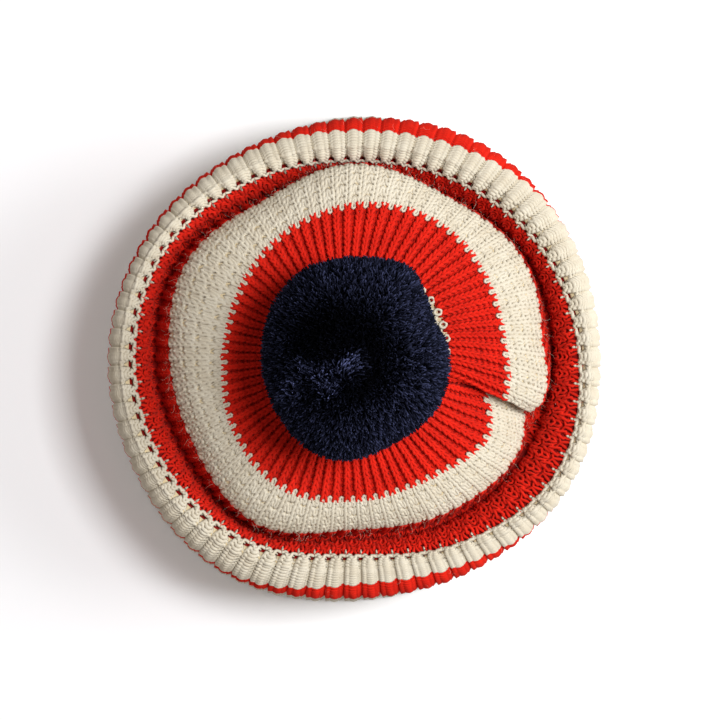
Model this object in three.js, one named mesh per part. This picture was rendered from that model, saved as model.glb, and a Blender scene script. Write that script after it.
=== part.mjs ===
// Knitted pompom hat: it stands on its ribbed cuff, and the striped crown has sunk into the cuff.
// Millimetres, +Z up. The hat stands on the plane z = 0 with its outline centred on the origin.
import * as THREE from "three";

// Driving dimensions
const RIBS = 80; // rib repeats round the hat, the same in the crown and the cuff
const WALL = 3; // knitted wall, measured at the top of a rib
const ROLL_WALL = 2.2; // the same wall where it is pulled thin over the rim
const RIDGE_DEPTH = 0.9; // groove between two ridges of the crown
const RIB_DEPTH = 1.3; // groove between two ribs of the cuff
const EYELET = 2; // height of the eyelet at each groove of the seam, where the cuff begins
const GAP = 0.3; // clearance between two pieces that meet
const CROWN_TOP = 71; // height of the crown round the pompom
const GATHER_DIP = 6; // how far the gathered centre lies below the crown's top
const EDGE_DROP = 13; // how far the crown's edge lies below its top
const DISH_SLOPE = 0.22; // rise of the crown from its gathered centre, for each millimetre outwards
const POMPOM_REACH = 34.2; // radius of the pompom
const POMPOM_RISE = 32; // half its height before it settles on the crown
const POMPOM_CENTRE = new THREE.Vector3(1.8, 0.4, 96.5);
const LOCK_ROOT = 0.9; // radius between the pompom's locks, as a share of the radius at their tips
const LOCK_TIP = 0.52; // width of a lock at its tip, as a share of its width at the root

const RED = new THREE.Color(0xc41a12);
const CREAM = new THREE.Color(0xebe3cd);
const NAVY = new THREE.Color(0x15182b);

// Outline of the standing hat, one row for each 30 degrees, counter-clockwise from +X.
// crown: radius of the crown's edge, lean: how far that edge is lifted, valley: radius of the fold round it,
// floor: height of that fold, roll: how far the fabric rolls over between the fold and the eyelets,
// seam: radius of the eyelets, drop: how far they lie below the rim, rim: height of the rim,
// wall: radius of the outer wall, hem: radius of the lower edge.
const OUTLINE = [
  {
    crown: 69, lean: 0, valley: 71.5, floor: 47, roll: 1,
    seam: 82, drop: 1, rim: 62, wall: 90, hem: 90,
  },
  {
    crown: 71.6, lean: 1, valley: 71.4, floor: 47, roll: 0.8,
    seam: 79.2, drop: 0.8, rim: 61.8, wall: 90.6, hem: 91,
  },
  {
    crown: 68, lean: 1.5, valley: 67, floor: 45, roll: 0.4,
    seam: 74.4, drop: 3, rim: 60.6, wall: 91, hem: 92.2,
  },
  {
    crown: 70.6, lean: 4.5, valley: 63, floor: 44, roll: 0,
    seam: 71.4, drop: 5, rim: 60, wall: 87.3, hem: 91.4,
  },
  {
    crown: 66.2, lean: 0.5, valley: 66.6, floor: 44, roll: 0.4,
    seam: 74.3, drop: 3, rim: 60.8, wall: 85.8, hem: 87.4,
  },
  {
    crown: 70.2, lean: 0.5, valley: 73.8, floor: 45, roll: 0.9,
    seam: 79.4, drop: 1, rim: 61.8, wall: 87.8, hem: 87.8,
  },
  {
    crown: 67, lean: 0, valley: 73.2, floor: 44, roll: 1.25,
    seam: 81, drop: 1, rim: 62.4, wall: 89.6, hem: 91,
  },
  {
    crown: 66.6, lean: 0, valley: 72, floor: 44, roll: 1.25,
    seam: 80.7, drop: 1, rim: 62, wall: 90.4, hem: 94.5,
  },
  {
    crown: 70.6, lean: 1.5, valley: 72.6, floor: 44, roll: 1,
    seam: 78.2, drop: 1.2, rim: 61.2, wall: 92.2, hem: 96.5,
  },
  {
    crown: 63.4, lean: 0, valley: 65.5, floor: 44, roll: 0.8,
    seam: 73, drop: 1.4, rim: 59.8, wall: 88.6, hem: 93,
  },
  {
    crown: 66.3, lean: 0, valley: 68.3, floor: 46, roll: 1,
    seam: 78, drop: 1.2, rim: 60.8, wall: 89.6, hem: 91.6,
  },
  {
    crown: 69.9, lean: 0.5, valley: 70.6, floor: 48, roll: 1,
    seam: 84.6, drop: 1, rim: 62, wall: 92, hem: 91.5,
  },
];

// Heights that follow the outline: the crown's edge, and the eyelets.
const edgeHeight = (o) => CROWN_TOP - EDGE_DROP + o.lean;
const seamHeight = (o) => o.rim - o.drop;

// Meridian of the wall, one row for each station from the gathered centre to the hem.
// radius and height follow the outline o, and pleat is how strongly the crown's pleat acts there.
const MERIDIAN = [
  { name: "gather", radius: (o) => 0, height: (o) => CROWN_TOP - GATHER_DIP, pleat: 0 },
  { name: "seat", radius: (o) => 0.24 * o.crown, height: (o) => CROWN_TOP - 2.5, pleat: 0 },
  { name: "top", radius: (o) => 0.5 * o.crown, height: (o) => CROWN_TOP, pleat: 0.2 },
  { name: "stripe", radius: (o) => 0.72 * o.crown, height: (o) => CROWN_TOP - 2 + 0.2 * o.lean, pleat: 0.65 },
  { name: "brow", radius: (o) => 0.89 * o.crown, height: (o) => CROWN_TOP - 6.5 + 0.6 * o.lean, pleat: 0.9 },
  { name: "edge", radius: (o) => 0.985 * o.crown, height: edgeHeight, pleat: 1 },
  {
    name: "side",
    radius: (o) => mix(o.crown, o.valley, mix(0.12, 0.4, o.roll)),
    height: (o) => mix(edgeHeight(o), o.floor, 0.42),
    pleat: 0.8,
  },
  {
    name: "foot",
    radius: (o) => mix(o.crown, o.valley, mix(0.72, 0.85, o.roll)),
    height: (o) => mix(edgeHeight(o), o.floor, 0.82),
    pleat: 0.3,
  },
  { name: "valley", radius: (o) => o.valley, height: (o) => o.floor, pleat: 0 },
  {
    name: "slope",
    radius: (o) => mix(o.valley, o.seam, mix(0.33, 0.1, o.roll)),
    height: (o) => mix(o.floor, seamHeight(o), mix(0.2, 0.45, o.roll)),
    pleat: 0,
  },
  {
    name: "bank",
    radius: (o) => mix(o.valley, o.seam, mix(0.72, 0.45, o.roll)),
    height: (o) => mix(o.floor, seamHeight(o), mix(0.63, 0.86, o.roll)),
    pleat: 0,
  },
  { name: "seam", radius: (o) => o.seam, height: seamHeight, pleat: 0 },
  {
    name: "inner roll",
    radius: (o) => mix(o.seam, o.wall, 0.15),
    height: (o) => o.rim - 0.35 * o.drop,
    pleat: 0,
  },
  { name: "rim", radius: (o) => mix(o.seam, o.wall, 0.33), height: (o) => o.rim, pleat: 0 },
  { name: "outer roll", radius: (o) => mix(o.seam, o.wall, 0.7), height: (o) => o.rim - 3, pleat: 0 },
  { name: "shoulder", radius: (o) => mix(o.seam, o.wall, 0.95), height: (o) => o.rim - 9.5, pleat: 0 },
  { name: "wall", radius: (o) => o.wall, height: (o) => o.rim - 20, pleat: 0 },
  { name: "lower wall", radius: (o) => mix(o.wall, o.hem, 0.5), height: (o) => 21, pleat: 0 },
  { name: "hem", radius: (o) => o.hem, height: (o) => 0, pleat: 0 },
];

// Pleat in the crown, one row for each section across it, counted in ribs from the bottom of the fold.
// lies: where the rib lies, counted from the lip, swells: how far the crown's edge stands out there,
// sinks: how far the outside is drawn down, inside: how far the inside is drawn down.
const PLEAT_RIB = 76.6;
const PLEAT = [
  { rib: -40, lies: -40, swells: 0, sinks: 0, inside: 0 },
  { rib: -9, lies: -8.2, swells: 0, sinks: 0, inside: 0.5 },
  { rib: -4, lies: -3.2, swells: 0, sinks: 2.2, inside: 3.5 },
  { rib: -1.5, lies: -0.75, swells: -3.2, sinks: 6, inside: 8 },
  { rib: -0.3, lies: 0.45, swells: -5, sinks: 8.5, inside: 9.5 },
  { rib: 0.4, lies: 0.42, swells: -4, sinks: 6.5, inside: 9.5 },
  { rib: 1.5, lies: -0.6, swells: -2.4, sinks: 0.6, inside: 7 },
  { rib: 2.4, lies: 0.2, swells: 1.2, sinks: -1.4, inside: 5 },
  { rib: 4, lies: 1.95, swells: 2.2, sinks: -1.5, inside: 3 },
  { rib: 6, lies: 4.4, swells: 0, sinks: -1, inside: 1.5 },
  { rib: 9, lies: 7.6, swells: 0, sinks: -0.3, inside: 0.3 },
  { rib: 40, lies: 40, swells: 0, sinks: 0, inside: 0 },
];

// Outline of the pompom from above, one row for each lobe and hollow of its pile, as a share of its reach.
const POMPOM_OUTLINE = [
  { azimuth: -18, share: 0.955 },
  { azimuth: 4, share: 0.93 },
  { azimuth: 27, share: 0.865 },
  { azimuth: 48, share: 0.98 },
  { azimuth: 61, share: 1.08 },
  { azimuth: 79, share: 1.04 },
  { azimuth: 108, share: 1.035 },
  { azimuth: 118, share: 1.06 },
  { azimuth: 130, share: 1.04 },
  { azimuth: 150, share: 1.01 },
  { azimuth: 165, share: 0.98 },
  { azimuth: 197, share: 0.967 },
  { azimuth: 219, share: 0.99 },
  { azimuth: 245, share: 1.07 },
  { azimuth: 256, share: 1.075 },
  { azimuth: 279, share: 0.99 },
  { azimuth: 294, share: 0.94 },
  { azimuth: 309, share: 0.945 },
  { azimuth: 331, share: 0.96 },
  { azimuth: 342, share: 0.955 },
];

// Where the pile parts on top of the pompom: place on the ball, width and depth of each hollow.
const PARTINGS = [
  { azimuth: -17, height: 0.978, width: 0.3, depth: 0.13 },
  { azimuth: 178, height: 0.8, width: 0.22, depth: 0.06 },
];

function mix(a, b, share) {
  return THREE.MathUtils.lerp(a, b, share);
}

// Smooth value of one column of a table whose rows are keyed by another column.
function fromTable(rows, key, column, place) {
  let row = 0;
  while (row < rows.length - 2 && rows[row + 1][key] < place) row += 1;
  const slopeAt = (index) => {
    const before = rows[Math.max(index - 1, 0)];
    const after = rows[Math.min(index + 1, rows.length - 1)];
    return (after[column] - before[column]) / (after[key] - before[key]);
  };
  const start = rows[row];
  const end = rows[row + 1];
  const span = end[key] - start[key];
  const t = (place - start[key]) / span;
  const rise = 3 * t * t - 2 * t * t * t;
  const leave = t * t * t - 2 * t * t + t;
  const arrive = t * t * t - t * t;
  const ease = span * (leave * slopeAt(row) + arrive * slopeAt(row + 1));
  return mix(start[column], end[column], rise) + ease;
}

// Outline at an azimuth in degrees, with every column blended smoothly between its neighbouring rows.
function outlineAt(azimuth) {
  const step = 360 / OUTLINE.length;
  const place = THREE.MathUtils.euclideanModulo(azimuth, 360) / step;
  const first = Math.floor(place) - 1;
  const rows = [0, 1, 2, 3].map((offset) => ({
    place: first + offset,
    ...OUTLINE[THREE.MathUtils.euclideanModulo(first + offset, OUTLINE.length)],
  }));
  const blended = {};
  for (const column of Object.keys(OUTLINE[0])) blended[column] = fromTable(rows, "place", column, place);
  return blended;
}

// Curve along one rib of the wall, through its stations. The inside of the wall has no overhanging lip.
function meridianAt(rib, inside) {
  const offset = THREE.MathUtils.euclideanModulo(rib - PLEAT_RIB + RIBS / 2, RIBS) - RIBS / 2;
  const pull = inside ? 0 : fromTable(PLEAT, "rib", "lies", offset) - offset;
  const swells = fromTable(PLEAT, "rib", "swells", offset);
  const sinks = fromTable(PLEAT, "rib", inside ? "inside" : "sinks", offset);
  const points = MERIDIAN.map((station) => {
    const azimuth = (360 / RIBS) * (rib + station.pleat * pull);
    const outline = outlineAt(azimuth);
    const angle = THREE.MathUtils.degToRad(azimuth);
    const radius = station.radius(outline) + station.pleat * swells;
    const height = station.height(outline) - station.pleat * sinks;
    return new THREE.Vector3(radius * Math.cos(angle), radius * Math.sin(angle), height);
  });
  return new THREE.CatmullRomCurve3(points, false, "catmullrom");
}

// Point of the wall on one rib, at a place counted in stations, set in from the outside by a depth.
function wallPoint(rib, place, depth, inside) {
  const curve = meridianAt(rib, inside);
  const share = place / (MERIDIAN.length - 1);
  const point = curve.getPoint(share);
  const angle = THREE.MathUtils.degToRad((360 / RIBS) * rib);
  const sideways = new THREE.Vector3(-Math.sin(angle), Math.cos(angle), 0);
  const outward = curve.getTangent(share).cross(sideways).normalize();
  return point.addScaledVector(outward, -depth);
}

// One closed skin, gathered triangle by triangle with the yarn colour of each.
class Skin {
  constructor() {
    this.corners = [];
    this.tints = [];
  }

  triangle(a, b, c, tint) {
    for (const corner of [a, b, c]) {
      this.corners.push(corner.x, corner.y, corner.z);
      this.tints.push(tint.r, tint.g, tint.b);
    }
  }

  // Band between two closed rings, of any number of points, whose first points face each other.
  band(upper, lower, tint) {
    let i = 0;
    let j = 0;
    while (i < upper.length || j < lower.length) {
      const a = upper[i % upper.length];
      const b = lower[j % lower.length];
      if ((i + 1) * lower.length <= (j + 1) * upper.length && i < upper.length) {
        i += 1;
        this.triangle(a, b, upper[i % upper.length], tint);
      } else {
        j += 1;
        this.triangle(a, b, lower[j % lower.length], tint);
      }
    }
  }

  bands(rings) {
    for (let i = 1; i < rings.length; i += 1) this.band(rings[i - 1].points, rings[i].points, rings[i].yarn);
  }

  // Fan from one point to a closed ring.
  cap(tip, ring, tint) {
    ring.forEach((point, i) => this.triangle(tip, point, ring[(i + 1) % ring.length], tint));
  }

  mesh(name, roughness) {
    const geometry = new THREE.BufferGeometry();
    geometry.setAttribute("position", new THREE.Float32BufferAttribute(this.corners, 3));
    geometry.setAttribute("color", new THREE.Float32BufferAttribute(this.tints, 3));
    geometry.computeVertexNormals();
    const mesh = new THREE.Mesh(
      geometry,
      new THREE.MeshStandardMaterial({ vertexColors: true, roughness, metalness: 0 }),
    );
    mesh.name = name;
    return mesh;
  }
}

// Sections across one rib, counted from its middle: the depth of each point, its shift along the wall, and how
// far it is lowered.
// Stations beside the seam lie about STATION_STEP apart, which turns the eyelets and gaps there into shifts.
const STATION_STEP = 4.5;
const NOTCH = (0.45 * EYELET) / STATION_STEP;
const CLEAR = (0.55 * GAP) / STATION_STEP;
const CLEAR_INSIDE = 4 * CLEAR; // the wall turns inwards at the rim, so its inner edges would close up
const SMOOTH = [{ rib: -0.5, depth: 0, shift: 0 }];
const RIDGE = [
  { rib: -0.5, depth: RIDGE_DEPTH, shift: 0 },
  { rib: 0, depth: 0, shift: 0 },
];
const CROWN_EDGE = [
  { rib: -0.5, depth: RIDGE_DEPTH, shift: -NOTCH },
  { rib: 0, depth: 0, shift: -CLEAR },
];
const CROWN_INNER_EDGE = [
  { rib: -0.5, depth: ROLL_WALL, shift: -NOTCH },
  { rib: 0, depth: ROLL_WALL, shift: -CLEAR_INSIDE },
];
const FLAT_RIB = [
  { rib: -0.5, depth: RIB_DEPTH, shift: 0 },
  { rib: -0.2, depth: 0, shift: 0 },
  { rib: 0.2, depth: 0, shift: 0 },
];
const CUFF_EDGE = [
  { rib: -0.5, depth: RIB_DEPTH, shift: NOTCH },
  { rib: -0.2, depth: 0, shift: CLEAR },
  { rib: 0.2, depth: 0, shift: CLEAR },
];
const CUFF_INNER_EDGE = [
  { rib: -0.5, depth: ROLL_WALL, shift: NOTCH },
  { rib: 0, depth: ROLL_WALL, shift: CLEAR_INSIDE },
];
const ROLL_INSIDE = [{ rib: -0.5, depth: ROLL_WALL, shift: 0 }];
const INSIDE = [{ rib: -0.5, depth: WALL, shift: 0 }];
// The fold round the crown is too sharp for the wall to be set in, so its inside is lowered as well.
const FOLD_SIDE = [{ rib: -0.5, depth: 0.8 * WALL, shift: 0, below: 0.8 * WALL }];
const FOLD_BOTTOM = [{ rib: -0.5, depth: 0, shift: 0, below: WALL }];

// Rings of the crown's skin, one row each: the station, the share of the way past it, the section across
// a rib, and the yarn of the band that ends there. The second table lies on the inside of the wall.
const CROWN_RINGS = [
  { at: "seat", past: 0, section: SMOOTH, yarn: CREAM },
  { at: "top", past: 0, section: RIDGE, yarn: CREAM },
  { at: "stripe", past: 0.15, section: RIDGE, yarn: RED },
  { at: "brow", past: 0, section: RIDGE, yarn: CREAM },
  { at: "brow", past: 0.6, section: RIDGE, yarn: CREAM },
  { at: "edge", past: 0.2, section: RIDGE, yarn: CREAM },
  { at: "side", past: 0, section: RIDGE, yarn: RED },
  { at: "foot", past: 0, section: RIDGE, yarn: RED },
  { at: "valley", past: 0, section: RIDGE, yarn: RED },
  { at: "slope", past: 0, section: RIDGE, yarn: RED },
  { at: "bank", past: 0.4, section: RIDGE, yarn: RED },
  { at: "seam", past: 0, section: CROWN_EDGE, yarn: CREAM },
];
const CROWN_INNER_RINGS = [
  { at: "seam", past: 0, section: CROWN_INNER_EDGE, yarn: CREAM },
  { at: "bank", past: 0, section: INSIDE, yarn: RED },
  { at: "slope", past: 0, section: INSIDE, yarn: RED },
  { at: "valley", past: 0.4, section: FOLD_SIDE, yarn: RED },
  { at: "valley", past: 0, section: FOLD_BOTTOM, yarn: RED },
  { at: "foot", past: 0.6, section: FOLD_SIDE, yarn: RED },
  { at: "foot", past: 0, section: INSIDE, yarn: RED },
  { at: "side", past: 0, section: INSIDE, yarn: RED },
  { at: "brow", past: 0.8, section: INSIDE, yarn: CREAM },
  { at: "stripe", past: 0.6, section: INSIDE, yarn: CREAM },
  { at: "top", past: 0, section: INSIDE, yarn: RED },
  { at: "seat", past: 0, section: INSIDE, yarn: CREAM },
];

// Rings of the cuff's skin in the same form, from the seam over the rim to the hem and back up the inside.
const CUFF_RINGS = [
  { at: "seam", past: 0, section: CUFF_EDGE, yarn: CREAM },
  { at: "inner roll", past: 0, section: FLAT_RIB, yarn: CREAM },
  { at: "rim", past: 0, section: FLAT_RIB, yarn: CREAM },
  { at: "outer roll", past: 0, section: FLAT_RIB, yarn: CREAM },
  { at: "shoulder", past: 0, section: FLAT_RIB, yarn: CREAM },
  { at: "wall", past: 0, section: FLAT_RIB, yarn: RED },
  { at: "wall", past: 0.7, section: FLAT_RIB, yarn: RED },
  { at: "hem", past: 0, section: FLAT_RIB, yarn: CREAM },
  { at: "hem", past: 0, section: INSIDE, yarn: CREAM },
  { at: "wall", past: 0.5, section: INSIDE, yarn: CREAM },
  { at: "shoulder", past: 0, section: INSIDE, yarn: RED },
  { at: "rim", past: 0.5, section: ROLL_INSIDE, yarn: CREAM },
  { at: "seam", past: 0, section: CUFF_INNER_EDGE, yarn: CREAM },
];

// Ring of wall points: its section, repeated at each rib round the hat. The hem lies flat on the table.
function ring({ at, past, section, yarn }, inside) {
  const place = MERIDIAN.findIndex((station) => station.name === at) + past;
  const points = [];
  for (let rib = 0; rib < RIBS; rib += 1) {
    for (const { rib: across, depth, shift, below = 0 } of section) {
      const point = wallPoint(rib + across, place + shift, depth, inside);
      point.z -= below;
      points.push(point);
    }
  }
  if (at === "hem") for (const point of points) point.z = 0;
  return { points, yarn };
}

// Crown: from the gathered centre over its edge, down into the valley and up the rim's inner slope.
function crown() {
  const skin = new Skin();
  const outside = CROWN_RINGS.map((row) => ring(row, false));
  const inside = CROWN_INNER_RINGS.map((row) => ring(row, true));
  skin.cap(wallPoint(0, 0, 0, false), outside[0].points, CREAM);
  skin.bands([...outside, ...inside]);
  skin.cap(wallPoint(0, 0, WALL, true), inside.at(-1).points.reverse(), CREAM);
  return skin.mesh("crown", 0.95);
}

// Cuff: ribbed band from the seam over the rolled rim and down the outer wall to a flat hem on the table.
function cuff() {
  const skin = new Skin();
  const rings = CUFF_RINGS.map((row) => ring(row, false));
  skin.bands([...rings, rings[0]]);
  return skin.mesh("cuff", 0.95);
}

// Height of the pompom's underside, which settles into the dish round the gathered centre of the crown.
function seatHeight(radius) {
  const dish = CROWN_TOP - GATHER_DIP + DISH_SLOPE * radius;
  return Math.min(dish, CROWN_TOP) + GAP;
}

// Point of the pompom in a direction from its centre, at a share of the pile's full length.
function pilePoint(direction, share) {
  const azimuth = THREE.MathUtils.radToDeg(Math.atan2(direction.y, direction.x));
  const turned = azimuth < POMPOM_OUTLINE[0].azimuth ? azimuth + 360 : azimuth;
  const outline = fromTable(POMPOM_OUTLINE, "azimuth", "share", turned);
  const level = Math.sqrt(Math.max(0, 1 - direction.z * direction.z));
  let reach = share * mix(1, outline, level);
  for (const parting of PARTINGS) {
    const angle = THREE.MathUtils.degToRad(parting.azimuth);
    const flat = Math.sqrt(1 - parting.height * parting.height);
    const middle = new THREE.Vector3(flat * Math.cos(angle), flat * Math.sin(angle), parting.height);
    reach -= parting.depth * Math.exp(-((direction.distanceTo(middle) / parting.width) ** 2));
  }
  const spread = new THREE.Vector3(POMPOM_REACH, POMPOM_REACH, POMPOM_RISE);
  const point = direction.clone().multiplyScalar(reach).multiply(spread).add(POMPOM_CENTRE);
  point.z = Math.max(point.z, seatHeight(Math.hypot(point.x, point.y)));
  return point;
}

// Pompom: a round head whose every facet carries one blunt lock of pile.
function pompom() {
  const skin = new Skin();
  const ball = new THREE.IcosahedronGeometry(1, 2).getAttribute("position");
  for (let first = 0; first < ball.count; first += 3) {
    const corners = [0, 1, 2].map((i) => new THREE.Vector3().fromBufferAttribute(ball, first + i));
    const middle = new THREE.Vector3().add(corners[0]).add(corners[1]).add(corners[2]).normalize();
    const roots = corners.map((corner) => pilePoint(corner, LOCK_ROOT));
    const tips = corners.map((corner) => pilePoint(middle.clone().lerp(corner, LOCK_TIP).normalize(), 1));
    skin.triangle(tips[0], tips[1], tips[2], NAVY);
    roots.forEach((root, i) => {
      const next = (i + 1) % 3;
      skin.triangle(root, roots[next], tips[next], NAVY);
      skin.triangle(root, tips[next], tips[i], NAVY);
    });
  }
  return skin.mesh("pompom", 1);
}

const hat = new THREE.Group();
hat.add(crown(), cuff(), pompom());
const middle = new THREE.Box3().setFromObject(hat).getCenter(new THREE.Vector3());
hat.position.set(-middle.x, -middle.y, 0);

export default hat;
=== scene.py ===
"""Knitted pompom hat that stands on its ribbed cuff, with its striped crown sunk into the cuff."""

import math

import bmesh
import bpy
import numpy as np
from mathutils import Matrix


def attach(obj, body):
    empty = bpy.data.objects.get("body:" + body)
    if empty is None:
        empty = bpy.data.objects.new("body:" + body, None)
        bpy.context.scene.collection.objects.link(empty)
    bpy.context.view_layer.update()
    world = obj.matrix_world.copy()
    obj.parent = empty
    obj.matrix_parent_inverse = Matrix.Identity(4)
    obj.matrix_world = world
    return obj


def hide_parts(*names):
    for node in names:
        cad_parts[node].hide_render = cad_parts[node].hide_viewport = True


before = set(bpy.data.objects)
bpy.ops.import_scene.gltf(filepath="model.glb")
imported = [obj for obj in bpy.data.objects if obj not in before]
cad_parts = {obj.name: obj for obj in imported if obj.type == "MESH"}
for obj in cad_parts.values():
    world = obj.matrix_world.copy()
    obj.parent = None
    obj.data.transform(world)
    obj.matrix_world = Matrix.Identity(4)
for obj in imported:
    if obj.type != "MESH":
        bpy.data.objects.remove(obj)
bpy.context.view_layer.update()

# Fabric of the hat: one tube of thick knitting, gathered at the centre of the crown, folded up at the valley
# and rolled over at the rim. Its middle is worked out from the same sizes as the solid hat, as a smooth sheet
# on which u counts the ribs round the hat and v counts the courses from the centre to the hem.
MM = 0.001
RIBS = 80
HALF_WALL = 1.35  # depth of the fabric's middle below the tops of its ribs
CROWN_TOP = 71.0
GATHER_DIP = 6.0
EDGE_DROP = 13.0
OUTLINE = {  # one value for each 30 degrees, counter-clockwise from +X
    "crown": (69, 71.6, 68, 70.6, 66.2, 70.2, 67, 66.6, 70.6, 63.4, 66.3, 69.9),
    "lean": (0, 1, 1.5, 4.5, 0.5, 0.5, 0, 0, 1.5, 0, 0, 0.5),
    "valley": (71.5, 71.4, 67, 63, 66.6, 73.8, 73.2, 72, 72.6, 65.5, 68.3, 70.6),
    "floor": (47, 47, 45, 44, 44, 45, 44, 44, 44, 44, 46, 48),
    "roll": (1, 0.8, 0.4, 0, 0.4, 0.9, 1.25, 1.25, 1, 0.8, 1, 1),
    "seam": (82, 79.2, 74.4, 71.4, 74.3, 79.4, 81, 80.7, 78.2, 73, 78, 84.6),
    "drop": (1, 0.8, 3, 5, 3, 1, 1, 1, 1.2, 1.4, 1.2, 1),
    "rim": (62, 61.8, 60.6, 60, 60.8, 61.8, 62.4, 62, 61.2, 59.8, 60.8, 62),
    "wall": (90, 90.6, 91, 87.3, 85.8, 87.8, 89.6, 90.4, 92.2, 88.6, 89.6, 92),
    "hem": (90, 91, 92.2, 91.4, 87.4, 87.8, 91, 94.5, 96.5, 93, 91.6, 91.5),
    "red start": (33.6, 34.6, 34, 33, 30, 27, 26, 28, 30, 30, 30, 31),  # radii of the red stripe
    "red end": (54.8, 55.2, 57.3, 54.8, 51.2, 47.3, 46.6, 50.5, 53.7, 51.6, 51.6, 57.3),
    "eyelet": (1.0, 2.2, 2.4, 2.4, 2.4, 2.4, 2.4, 2.4, 2.4, 2, 0.6, 0.5),  # cream fabric inside the seam
    "turned": (17, 18, 13, 13.6, 13.4, 10, 13.5, 15, 16.5, 10.4, 8.8, 17),  # cream fabric outside the seam
}
PLEAT_RIB = 76.6
PLEAT = {  # across the pleat in the crown, counted in ribs from the bottom of the fold
    "rib": (-40, -9, -4, -1.5, -0.3, 0.4, 1.5, 2.4, 4, 6, 9, 40),
    "lies": (-40, -8.2, -3.2, -0.75, 0.45, 0.42, -0.6, 0.2, 1.95, 4.4, 7.6, 40),
    "swells": (0, 0, 0, -3.2, -5, -4, -2.4, 1.2, 2.2, 0, 0, 0),
    "sinks": (0, 0, 2.2, 6, 8.5, 6.5, 0.6, -1.4, -1.5, -1, -0.3, 0),
    "draws": (0, 0, -0.5, -5, -7.5, -6, 1, 1.5, 1, 0, 0, 0),
}
COURSES = {  # courses in each stripe, from the centre to the hem
    "crown_cream_0": 14,
    "crown_red_1": 10,
    "crown_cream_1": 8,
    "crown_red_2": 6,
    "crown_red_3": 6,
    "crown_cream_2": 2,
    "cuff_cream_2": 11,
    "cuff_red_3": 17,
    "cuff_cream_3": 18,
}
COURSE_ENDS = dict(zip(COURSES, np.cumsum(list(COURSES.values())).tolist()))
ALL_COURSES = COURSE_ENDS["cuff_cream_3"]
CUFF_RED = 25.0  # fabric in the cuff's red stripe
HEM_YARN = 1.0  # the last course lies this far above the table
TOP_END = 4.6  # where the top of the crown ends, in stations of a meridian
EDGE, VALLEY, SEAM, HEM = 5.2, 8, 11, 18  # stations of the crown's edge, the valley, the seam and the hem
STATION_STEPS = 40
COLUMNS = 480
COURSE_ROWS = 4  # rows of the sheet in each course
SHEET_ROWS = COURSE_ROWS * ALL_COURSES


def mix(start, end, share):
    """Value part of the way from start to end."""
    return start + (end - start) * share


def smooth_table(keys, values, places):
    """Smooth value of a short table at each of many places."""
    keys, values = np.array(keys, float), np.array(values, float)
    before = np.maximum(np.arange(len(keys)) - 1, 0)
    after = np.minimum(np.arange(len(keys)) + 1, len(keys) - 1)
    slopes = (values[after] - values[before]) / (keys[after] - keys[before])
    row = np.clip(np.searchsorted(keys, places) - 1, 0, len(keys) - 2)
    span = keys[row + 1] - keys[row]
    t = (places - keys[row]) / span
    rise = 3 * t**2 - 2 * t**3
    ease = span * ((t**3 - 2 * t**2 + t) * slopes[row] + (t**3 - t**2) * slopes[row + 1])
    return mix(values[row], values[row + 1], rise) + ease


def outline_at(azimuth):
    """Every size of the outline at azimuths in degrees, blended smoothly round the hat."""
    steps = np.arange(-3, 16)  # one turn and a little more, so that the blend closes
    return {size: smooth_table(steps * 30.0, np.take(row, steps, mode="wrap"), azimuth % 360)
            for size, row in OUTLINE.items()}


def stations(o):
    """Radius, height and strength of the pleat at each station of a meridian, from the centre to the hem."""
    flat = np.zeros_like(o["crown"])
    edge_height = CROWN_TOP - EDGE_DROP + o["lean"]
    seam_height = o["rim"] - o["drop"]
    return (
        (flat, CROWN_TOP - GATHER_DIP + flat, 0),
        (0.24 * o["crown"], CROWN_TOP - 2.5 + flat, 0),
        (0.5 * o["crown"], CROWN_TOP + flat, 0.2),
        (0.72 * o["crown"], CROWN_TOP - 2 + 0.2 * o["lean"], 0.65),
        (0.89 * o["crown"], CROWN_TOP - 6.5 + 0.6 * o["lean"], 0.9),
        (0.985 * o["crown"], edge_height, 1),
        (mix(o["crown"], o["valley"], mix(0.12, 0.4, o["roll"])), mix(edge_height, o["floor"], 0.42), 0.8),
        (mix(o["crown"], o["valley"], mix(0.72, 0.85, o["roll"])), mix(edge_height, o["floor"], 0.82), 0.3),
        (o["valley"], o["floor"], 0),
        (mix(o["valley"], o["seam"], mix(0.33, 0.1, o["roll"])),
         mix(o["floor"], seam_height, mix(0.2, 0.45, o["roll"])), 0),
        (mix(o["valley"], o["seam"], mix(0.72, 0.45, o["roll"])),
         mix(o["floor"], seam_height, mix(0.63, 0.86, o["roll"])), 0),
        (o["seam"], seam_height, 0),
        (mix(o["seam"], o["wall"], 0.15), o["rim"] - 0.35 * o["drop"], 0),
        (mix(o["seam"], o["wall"], 0.33), o["rim"], 0),
        (mix(o["seam"], o["wall"], 0.7), o["rim"] - 3, 0),
        (mix(o["seam"], o["wall"], 0.95), o["rim"] - 9.5, 0),
        (o["wall"], o["rim"] - 20, 0),
        (mix(o["wall"], o["hem"], 0.5), 21 + flat, 0),
        (o["hem"], flat, 0),
    )


def pleat_at(ribs):
    """How the pleat moves the fabric on these ribs."""
    offset = (ribs - PLEAT_RIB + RIBS / 2) % RIBS - RIBS / 2
    moved = {change: smooth_table(PLEAT["rib"], row, offset) for change, row in PLEAT.items()}
    moved["pull"] = moved["lies"] - offset
    return moved


def meridian_points(ribs):
    """Points of the wall's outside at each station of the meridians on these ribs."""
    pleat = pleat_at(ribs)
    points = []
    for index, (_, _, strength) in enumerate(stations(outline_at(360 / RIBS * ribs))):
        azimuth = 360 / RIBS * (ribs + strength * pleat["pull"])
        radius, height, _ = stations(outline_at(azimuth))[index]
        radius = radius + strength * pleat["swells"]
        angle = np.radians(azimuth)
        points.append((radius * np.cos(angle), radius * np.sin(angle), height - strength * pleat["sinks"]))
    return np.array(points).transpose(2, 0, 1)


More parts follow.
